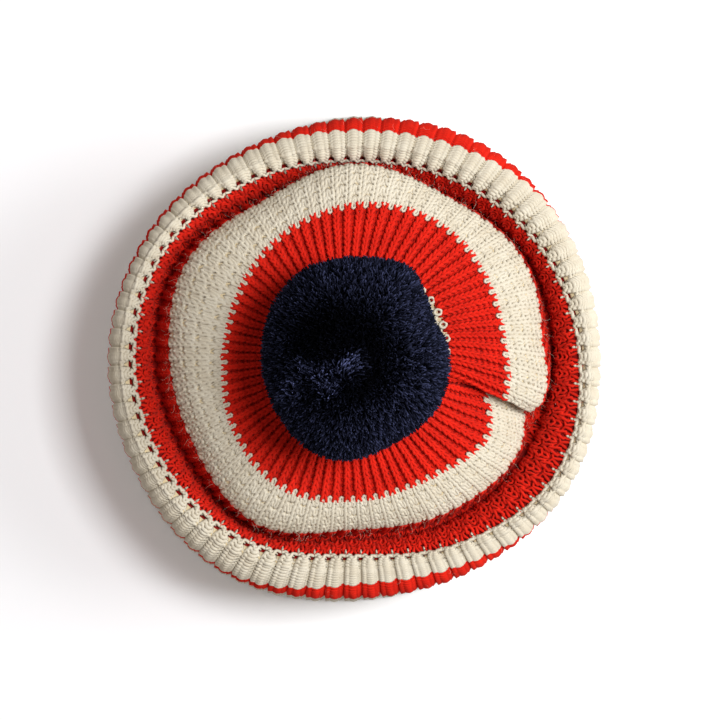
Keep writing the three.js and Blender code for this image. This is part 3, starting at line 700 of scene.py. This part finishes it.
def scatter_tree():
    """Nodes that stand fibres on a surface, each with its own lean, length, and tone with painted light."""
    tree = bpy.data.node_groups.new("Fibres on a surface", "GeometryNodeTree")
    sockets(tree, {"Surface": "Object", "Fibre": "Object", "Fibres per square metre": "Float",
                   "Lowest": "Float", "Lean": "Float", "Clumps per metre": "Float", "Clump lean": "Float",
                   "Clump height": "Float", "Shortest": "Float", "Longest": "Float", "Seed": "Int",
                   "Yarn": "Material"}, {"Fibres": "Geometry"})
    entry = node(tree, "NodeGroupInput").outputs

    def random_number(low, high, seed):
        made = node(tree, "FunctionNodeRandomValue", {2: low, 3: high, "Seed": seed}, data_type="FLOAT")
        return made.outputs[1]

    # Feet of the fibres, on the surface above its lowest height
    surface = node(tree, "GeometryNodeObjectInfo", {"Object": entry["Surface"]}).outputs["Geometry"]
    fibre = node(tree, "GeometryNodeObjectInfo", {"Object": entry["Fibre"]}).outputs["Geometry"]
    position = node(tree, "GeometryNodeInputPosition").outputs[0]
    height = node(tree, "ShaderNodeSeparateXYZ", {0: position}).outputs["Z"]
    high = number(tree, "GREATER_THAN", height, entry["Lowest"])
    density = number(tree, "MULTIPLY", high, entry["Fibres per square metre"])
    feet = node(tree, "GeometryNodeDistributePointsOnFaces",
                {"Mesh": surface, "Density": density, "Seed": entry["Seed"]})

    # Lean of each fibre: its own, its clump's, and the way that the surface is combed
    wild = node(tree, "FunctionNodeRandomValue", {0: (-1.0, -1.0, -1.0), 1: (1.0, 1.0, 1.0),
                                                  "Seed": entry["Seed"]}, data_type="FLOAT_VECTOR").outputs[0]
    clump = node(tree, "ShaderNodeTexNoise",
                 {"Vector": position, "Scale": entry["Clumps per metre"], "Detail": 1.0})
    swirl = vector(tree, "SUBTRACT", clump.outputs["Color"], (0.5, 0.5, 0.5))
    leaning = vector(tree, "ADD", vector(tree, "SCALE", wild, entry["Lean"]),
                     vector(tree, "SCALE", swirl, entry["Clump lean"]))
    drawn = vector(tree, "ADD", leaning, named_value(tree, "comb", "FLOAT_VECTOR"))
    along = vector(tree, "ADD", feet.outputs["Normal"], drawn)
    upright = node(tree, "FunctionNodeAlignRotationToVector", {"Vector": along}, axis="Z").outputs[0]
    turn = random_number(0.0, 6.28, entry["Seed"])
    spin = node(tree, "FunctionNodeAxisAngleToRotation", {"Axis": (0, 0, 1), "Angle": turn}).outputs[0]
    rotation = node(tree, "FunctionNodeRotateRotation", {"Rotation": upright, "Rotate By": spin},
                    rotation_space="LOCAL").outputs[0]

    # Length of each fibre, and its colour scale: a random tone that is light on a few of them, as painted
    # highlights on strand ends, times one plus the surface's painted light
    size = random_number(entry["Shortest"], entry["Longest"], entry["Seed"])
    taller = number(tree, "SUBTRACT", clump.outputs["Fac"], 0.5)
    tall = number(tree, "MULTIPLY_ADD", taller, entry["Clump height"], size)
    chance = random_number(0.0, 1.0, number(tree, "ADD", entry["Seed"], 7.0))
    bright = number(tree, "MULTIPLY_ADD", number(tree, "POWER", chance, 2.6), 1.1, 0.12)
    lit = number(tree, "MULTIPLY_ADD", named_value(tree, "lightness", "FLOAT"), bright, bright)
    shaded = node(tree, "GeometryNodeStoreNamedAttribute",
                  {"Geometry": feet.outputs["Points"], "Name": "shade", "Value": lit},
                  data_type="FLOAT", domain="POINT")
    fibres = node(tree, "GeometryNodeInstanceOnPoints",
                  {"Points": shaded.outputs[0], "Instance": fibre, "Rotation": rotation, "Scale": tall})
    real = node(tree, "GeometryNodeRealizeInstances", {"Geometry": fibres.outputs[0]})
    smooth = node(tree, "GeometryNodeSetShadeSmooth", {"Geometry": real.outputs[0]})
    coloured = node(tree, "GeometryNodeSetMaterial",
                    {"Geometry": smooth.outputs[0], "Material": entry["Yarn"]})
    node(tree, "NodeGroupOutput", {"Fibres": coloured.outputs[0]})
    return tree


fibre_scatter = scatter_tree()
fibre_guide = guide("fibre_guide", fibre_mesh())


def loose_fibres(name, first, last, amount, yarn, node_name, seed):
    """Hairs that stand off the knitting between two courses."""
    rows = np.arange(COURSE_ROWS * first, COURSE_ROWS * last + 1)
    points = (sheet_points + MM * sheet_outward)[:, rows]
    closed = np.concatenate([points, points[:1]])
    faces = grid_faces(COLUMNS + 1, len(rows))
    surface = guide(name + "_surface", mesh_of(name + "_surface", closed.reshape(-1, 3), faces))
    area = sum(face.area for face in surface.data.polygons)
    made = made_by_nodes(name, fibre_scatter, {
        "Surface": surface, "Fibre": fibre_guide, "Fibres per square metre": amount / area, "Lowest": -1.0,
        "Lean": 0.9, "Clumps per metre": 1.0, "Clump lean": 0.0, "Clump height": 0.0, "Shortest": 0.35,
        "Longest": 1.2, "Seed": seed, "Yarn": yarn})
    bpy.data.objects.remove(surface)
    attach(made, "root")
    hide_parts(node_name)


loose_fibres("fibres_crown_edge", 29, 33, 700, cream_yarn, "crown", seed=3)
loose_fibres("fibres_crown_red", 14, 24, 300, red_yarn, "crown", seed=5)
loose_fibres("fibres_slope", 33, 44, 160, red_yarn, "crown", seed=6)
loose_fibres("fibres_rim", 46, 61, 250, cream_yarn, "cuff", seed=7)

# Pompom: a ball of navy yarn ends, tied in the middle and cut to a round, sewn to the gathered centre of the
# crown. Its head stands in for the imported pompom: packed yarn below the ends, coloured near-black as
# painted shade deep in the pile. Each cut end is a blunt strand with painted shade at its root. Painted shade
# darkens the top middle of the pile, and painted highlights lighten a few combed tufts and a few strand ends.
POMPOM_REACH = 34.2
POMPOM_RISE = 32.0
POMPOM_CENTRE = np.array((1.8, 0.4, 96.5))
POMPOM_OUTLINE = {
    "azimuth": (-18, 4, 27, 48, 61, 79, 108, 118, 130, 150, 165, 197, 219, 245, 256, 279, 294, 309, 331, 342),
    "share": (0.955, 0.93, 0.865, 0.98, 1.08, 1.04, 1.035, 1.06, 1.04, 1.01, 0.98, 0.967, 0.99, 1.07, 1.075,
              0.99, 0.94, 0.945, 0.96, 0.955),
}
PARTINGS = ((-17, 0.978, 0.3, 0.13), (178, 0.8, 0.22, 0.06))  # azimuth, height, width and depth
HEAD_SHARE = 0.9
SEAT_SLOPE = 0.22  # the gathered crown rises this steeply from its centre
SEAT_GAP = 1.0
NAVY_LIGHT, NAVY_DEEP = (0.038, 0.044, 0.092, 1), (0.023, 0.026, 0.058, 1)
# Near-black colours of the head: painted shade deep in the pile, far darker than the navy yarn.
PAINTED_SHADE_CORE_LIGHT, PAINTED_SHADE_CORE_DEEP = (0.004, 0.0045, 0.009, 1), (0.001, 0.0012, 0.003, 1)
NAVY_SHEEN = (0.4, 0.5, 0.9, 1)
NAVY_FIBRES = 700.0
PILE_ENDS = 23000
PILE_LENGTH = 3.6
PILE_RADIUS = 0.3
PILE_LOWEST = 0.0745  # no ends grow below this height
# Painted shade over the top of the pile: strand ends near this middle are coloured darker, fully within the
# reach and fading out over the next span, darkened by this share.
PAINTED_SHADE_MIDDLE = (-4.0, 1.0)  # where the pile is seen end-on and looks darkest
PAINTED_SHADE_REACH, PAINTED_SHADE_FADE, PAINTED_SHADE_DEPTH = 13.0, 13.0, 0.93
# Combed tufts: their strand ends lean with the comb and are coloured lighter, as painted highlights.
PILE_CLUMPS = (  # combed tufts that catch the light
    (-16.5, -4.0), (-10.8, -5.0), (-3.6, -4.4), (-0.6, -1.2), (-19.2, -10.5), (-8.0, -11.0))
CLUMP_REACH, CLUMP_PAINTED_HIGHLIGHT, CLUMP_COMB = 2.4, 3.4, (0.9, 1.1, 0.0)
# Painted shade along each strand end: its colour is scaled from the root's share up to the tip's.
ROOT_PAINTED_SHADE, TIP_PAINTED_LIGHT = 0.1, 1.3
navy_yarn = yarn_material("navy_yarn", NAVY_LIGHT, NAVY_DEEP, 0.0, NAVY_SHEEN, NAVY_FIBRES, gloss=0.03)
navy_painted_shade_core = yarn_material("navy_painted_shade_core", PAINTED_SHADE_CORE_LIGHT, PAINTED_SHADE_CORE_DEEP, 0.0, NAVY_SHEEN, NAVY_FIBRES, gloss=0.02)


def shade_by_strand(material):
    """Scale a yarn's colour on each strand by its tone and painted light, and darken its root as painted
    shade.
    """
    tree = material.node_tree
    base = tree.nodes["Principled BSDF"].inputs["Base Color"]
    colour = base.links[0].from_socket
    shade = node(tree, "ShaderNodeAttribute", attribute_name="shade").outputs["Fac"]
    tip = node(tree, "ShaderNodeAttribute", attribute_name="tip").outputs["Fac"]
    tree.links.new(vector(tree, "SCALE", colour, number(tree, "MULTIPLY", shade, tip)), base)


shade_by_strand(navy_yarn)


def set_numbers(mesh, name, numbers):
    """Give each point of a mesh a number under this name."""
    mesh.attributes.new(name, "FLOAT", "POINT").data.foreach_set("value", np.array(numbers, np.float32))


def head_points(directions):
    """Points of a ball with the outline, the flat seat and the partings of the pompom."""
    azimuth = np.degrees(np.arctan2(directions[:, 1], directions[:, 0]))
    azimuth = np.where(azimuth < POMPOM_OUTLINE["azimuth"][0], azimuth + 360, azimuth)
    outline = smooth_table(POMPOM_OUTLINE["azimuth"], POMPOM_OUTLINE["share"], azimuth)
    level = np.sqrt(np.clip(1 - directions[:, 2] ** 2, 0, 1))
    reach = HEAD_SHARE * mix(1, outline, level)
    for turn, height, width, depth in PARTINGS:
        flat = math.sqrt(1 - height**2)
        middle = np.array((flat * math.cos(math.radians(turn)), flat * math.sin(math.radians(turn)), height))
        reach -= depth * np.exp(-(np.linalg.norm(directions - middle, axis=1) / width) ** 2)
    points = directions * reach[:, None] * (POMPOM_REACH, POMPOM_REACH, POMPOM_RISE) + POMPOM_CENTRE
    gathered = CROWN_TOP - GATHER_DIP + SEAT_SLOPE * np.hypot(points[:, 0], points[:, 1])
    points[:, 2] = np.maximum(points[:, 2], np.minimum(gathered, CROWN_TOP) + SEAT_GAP)
    return points


def pompom_head():
    """Closed ball of packed yarn, with the painted shade, painted highlights and combing of the pile on it.
    """
    ball = bmesh.new()
    bmesh.ops.create_icosphere(ball, subdivisions=5, radius=1.0)
    points = head_points(np.array([vertex.co for vertex in ball.verts]))
    for vertex, point in zip(ball.verts, points * MM):
        vertex.co = point
    mesh = bpy.data.meshes.new("pompom_head")
    ball.to_mesh(mesh)
    ball.free()
    mesh.materials.append(navy_painted_shade_core)
    mesh.shade_smooth()
    across, along = points[:, 0], points[:, 1]
    from_middle = np.hypot(across - PAINTED_SHADE_MIDDLE[0], along - PAINTED_SHADE_MIDDLE[1])
    outer = np.clip((from_middle - PAINTED_SHADE_REACH) / PAINTED_SHADE_FADE, 0, 1)
    lightness = -PAINTED_SHADE_DEPTH * (1 - outer**2 * (3 - 2 * outer))
    comb = np.zeros_like(points)
    for clump in PILE_CLUMPS:
        near = np.exp(-((across - clump[0]) ** 2 + (along - clump[1]) ** 2) / CLUMP_REACH**2)
        lightness += CLUMP_PAINTED_HIGHLIGHT * near
        comb += near[:, None] * CLUMP_COMB
    set_numbers(mesh, "lightness", lightness)
    set_vectors(mesh, "comb", comb)
    return mesh


def strand_mesh():
    """Cut end of one strand: a blunt three-sided stick rising from the origin along +Z, painted darker at its
    root.
    """
    ring = strand_ring(PILE_RADIUS)
    points = np.concatenate([ring, 0.75 * ring + (0, 0, PILE_LENGTH)])
    mesh = mesh_of("strand", points * MM, strand_faces(2))
    set_numbers(mesh, "tip", [ROOT_PAINTED_SHADE] * 3 + [TIP_PAINTED_LIGHT] * 3)
    return mesh


head = object_of("pompom_head", pompom_head())
strand_guide = guide("strand_guide", strand_mesh())
head_area = sum(face.area for face in head.data.polygons if face.center.z > PILE_LOWEST)
pile = made_by_nodes("pompom_pile", fibre_scatter, {
    "Surface": head, "Fibre": strand_guide, "Fibres per square metre": PILE_ENDS / head_area,
    "Lowest": PILE_LOWEST, "Lean": 0.6, "Clumps per metre": 300.0, "Clump lean": 0.8, "Clump height": 0.5,
    "Shortest": 0.75, "Longest": 1.15, "Seed": 4, "Yarn": navy_yarn})
for piece in (head, pile):
    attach(piece, "root")
    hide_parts("pompom")
for helper in (fabric_guide, fibre_guide, strand_guide):
    bpy.data.objects.remove(helper)

# Floor and light: a plain white table top that glows faintly, under a soft lamp above and to the right.
# A wider lamp stands lower down at the right, and a little warm light comes from all round.
FLOOR_HALF = 3.0
FLOOR_WHITE = (0.95, 0.95, 0.955, 1)
FLOOR_GLOW = 0.09
LAMP_COLOUR = (0.985, 1.01, 1.03)
LAMP_AIM = 0.06  # height on the hat that the lamps face
ROOM_COLOUR = (1.0, 0.9, 0.87, 1)
ROOM_STRENGTH = 0.3
floor_corners = np.array([(-1, -1, 0), (1, -1, 0), (1, 1, 0), (-1, 1, 0)]) * FLOOR_HALF
floor = object_of("floor", mesh_of("floor", floor_corners, np.array([(0, 1, 2, 3)])))
floor_finish = bpy.data.materials.new("floor_white")
floor_finish.use_nodes = True
floor_inputs = floor_finish.node_tree.nodes["Principled BSDF"].inputs
floor_inputs["Base Color"].default_value = FLOOR_WHITE
floor_inputs["Roughness"].default_value = 0.9
floor_inputs["Emission Color"].default_value = (1.0, 1.0, 1.0, 1)
floor_inputs["Emission Strength"].default_value = FLOOR_GLOW
floor.data.materials.append(floor_finish)


def soft_lamp(name, place, size, power):
    """Square lamp that faces the hat."""
    light = bpy.data.lights.new(name, "AREA")
    light.size = size
    light.energy = power
    light.color = LAMP_COLOUR
    lamp = object_of(name, light)
    lamp.location = place
    aim = -lamp.location
    aim.z += LAMP_AIM
    lamp.rotation_euler = aim.to_track_quat("-Z", "Y").to_euler()


soft_lamp("key", place=(0.316, 0.09, 0.96), size=0.25, power=6.6)
soft_lamp("side", place=(0.898, 0.079, 0.69), size=0.5, power=6.8)
world = bpy.data.worlds.new("soft_room")
world.use_nodes = True
world.node_tree.nodes["Background"].inputs["Color"].default_value = ROOM_COLOUR
world.node_tree.nodes["Background"].inputs["Strength"].default_value = ROOM_STRENGTH
bpy.context.scene.world = world
bpy.context.scene.view_settings.view_transform = "Standard"

# Camera: it looks straight down from above the hat, a little to the right of its centre, and its picture is
# just wide enough to leave a margin of floor all round.
CAMERA_PLACE = (0.0029, -0.0004, 1.12)
FRAME_AT_RIM = 0.2585  # width of the picture at the height of the rim
RIM_HEIGHT = 0.062
camera_data = bpy.data.cameras.new("camera")
camera_data.sensor_width = 36.0
camera_data.lens = camera_data.sensor_width * (CAMERA_PLACE[2] - RIM_HEIGHT) / FRAME_AT_RIM
camera = object_of("camera", camera_data)
camera.location = CAMERA_PLACE
bpy.context.scene.camera = camera
